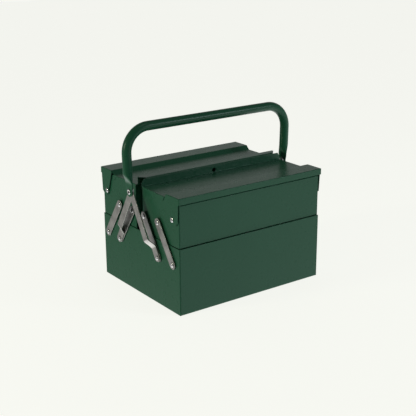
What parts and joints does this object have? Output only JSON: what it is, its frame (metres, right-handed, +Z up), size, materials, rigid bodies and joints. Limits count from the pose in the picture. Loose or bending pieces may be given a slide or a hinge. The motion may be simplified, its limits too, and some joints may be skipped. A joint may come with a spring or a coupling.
{
  "type": "sewing box with trays",
  "caption": "Cantilever sewing box of painted steel: a deep box, lidded trays that swing outwards on links, and a folding tubular handle.",
  "frame": {"origin": "centre of the bottom box's underside", "axes": "+X along the long side towards the right end, +Y towards the rear tray, +Z up"},
  "size_m": [0.4048, 0.2808, 0.3442],
  "materials": {
    "green_paint": "satin moss green powder coat",
    "zinc_plate": "dull zinc-plated strip steel",
    "bright_steel": "bright nickel-plated rivets"
  },
  "bodies": {
    "box": {"bottom_wrap": "green_paint", "bottom_left_end": "green_paint", "bottom_right_end": "green_paint", "front_left_arm": "zinc_plate", "front_right_arm": "zinc_plate", "rear_left_arm": "zinc_plate", "rear_right_arm": "zinc_plate", "front_left_outer_box_rivet": "bright_steel", "front_left_inner_box_rivet": "bright_steel", "front_right_outer_box_rivet": "bright_steel", "front_right_inner_box_rivet": "bright_steel", "rear_left_outer_box_rivet": "bright_steel", "rear_left_inner_box_rivet": "bright_steel", "rear_right_outer_box_rivet": "bright_steel", "rear_right_inner_box_rivet": "bright_steel", "handle_left_rivet": "bright_steel", "handle_right_rivet": "bright_steel"},
    "front_outer_links": {"front_left_outer_link": "zinc_plate", "front_right_outer_link": "zinc_plate"},
    "front_tray": {"front_tray_wrap": "green_paint", "front_tray_left_end": "green_paint", "front_tray_right_end": "green_paint", "front_left_outer_tray_rivet": "bright_steel", "front_left_inner_tray_rivet": "bright_steel", "front_right_outer_tray_rivet": "bright_steel", "front_right_inner_tray_rivet": "bright_steel", "front_left_outer_washer": "bright_steel", "front_left_inner_washer": "bright_steel", "front_right_outer_washer": "bright_steel", "front_right_inner_washer": "bright_steel", "front_left_lid_rivet": "bright_steel", "front_right_lid_rivet": "bright_steel"},
    "front_inner_links": {"front_left_inner_link": "zinc_plate", "front_right_inner_link": "zinc_plate"},
    "front_lid": {"front_lid": "green_paint"},
    "rear_outer_links": {"rear_left_outer_link": "zinc_plate", "rear_right_outer_link": "zinc_plate"},
    "rear_tray": {"rear_tray_wrap": "green_paint", "rear_tray_left_end": "green_paint", "rear_tray_right_end": "green_paint", "rear_left_outer_tray_rivet": "bright_steel", "rear_left_inner_tray_rivet": "bright_steel", "rear_right_outer_tray_rivet": "bright_steel", "rear_right_inner_tray_rivet": "bright_steel", "rear_left_outer_washer": "bright_steel", "rear_left_inner_washer": "bright_steel", "rear_right_outer_washer": "bright_steel", "rear_right_inner_washer": "bright_steel", "rear_left_lid_rivet": "bright_steel", "rear_right_lid_rivet": "bright_steel"},
    "rear_inner_links": {"rear_left_inner_link": "zinc_plate", "rear_right_inner_link": "zinc_plate"},
    "rear_lid": {"rear_lid": "green_paint"},
    "handle": {"handle": "green_paint"}
  },
  "joints": [
    {"name": "front_link_swing", "type": "hinge", "parent": "box", "child": "front_outer_links", "pos_m": [0, -0.117, 0.0972], "axis": [1, 0, 0], "range_deg": [0, 68.5]},
    {"name": "front_tray_pivot", "type": "hinge", "parent": "front_outer_links", "child": "front_tray", "pos_m": [0, -0.06915, 0.167], "axis": [-1, 0, 0], "range_deg": [0, 68.5]},
    {"name": "front_inner_link_swing", "type": "hinge", "parent": "box", "child": "front_inner_links", "pos_m": [0, -0.06915, 0.0972], "axis": [1, 0, 0], "range_deg": [0, 68.5]},
    {"name": "front_lid_hinge", "type": "hinge", "parent": "front_tray", "child": "front_lid", "pos_m": [0, -0.1172, 0.1848], "axis": [1, 0, 0], "range_deg": [0, 115]},
    {"name": "rear_link_swing", "type": "hinge", "parent": "box", "child": "rear_outer_links", "pos_m": [0, 0.117, 0.0972], "axis": [-1, 0, 0], "range_deg": [0, 68.5]},
    {"name": "rear_tray_pivot", "type": "hinge", "parent": "rear_outer_links", "child": "rear_tray", "pos_m": [0, 0.06915, 0.167], "axis": [1, 0, 0], "range_deg": [0, 68.5]},
    {"name": "rear_inner_link_swing", "type": "hinge", "parent": "box", "child": "rear_inner_links", "pos_m": [0, 0.06915, 0.0972], "axis": [-1, 0, 0], "range_deg": [0, 68.5]},
    {"name": "rear_lid_hinge", "type": "hinge", "parent": "rear_tray", "child": "rear_lid", "pos_m": [0, 0.1172, 0.1848], "axis": [-1, 0, 0], "range_deg": [0, 115]},
    {"name": "handle_fold", "type": "hinge", "parent": "box", "child": "handle", "pos_m": [0, 0, 0.2133], "axis": [1, 0, 0], "range_deg": [-76, 76]}
  ],
  "couplings": [
    {"joint": "front_tray_pivot", "follows": "front_link_swing", "ratio": 1},
    {"joint": "front_inner_link_swing", "follows": "front_link_swing", "ratio": 1},
    {"joint": "rear_tray_pivot", "follows": "rear_link_swing", "ratio": 1},
    {"joint": "rear_inner_link_swing", "follows": "rear_link_swing", "ratio": 1}
  ]
}
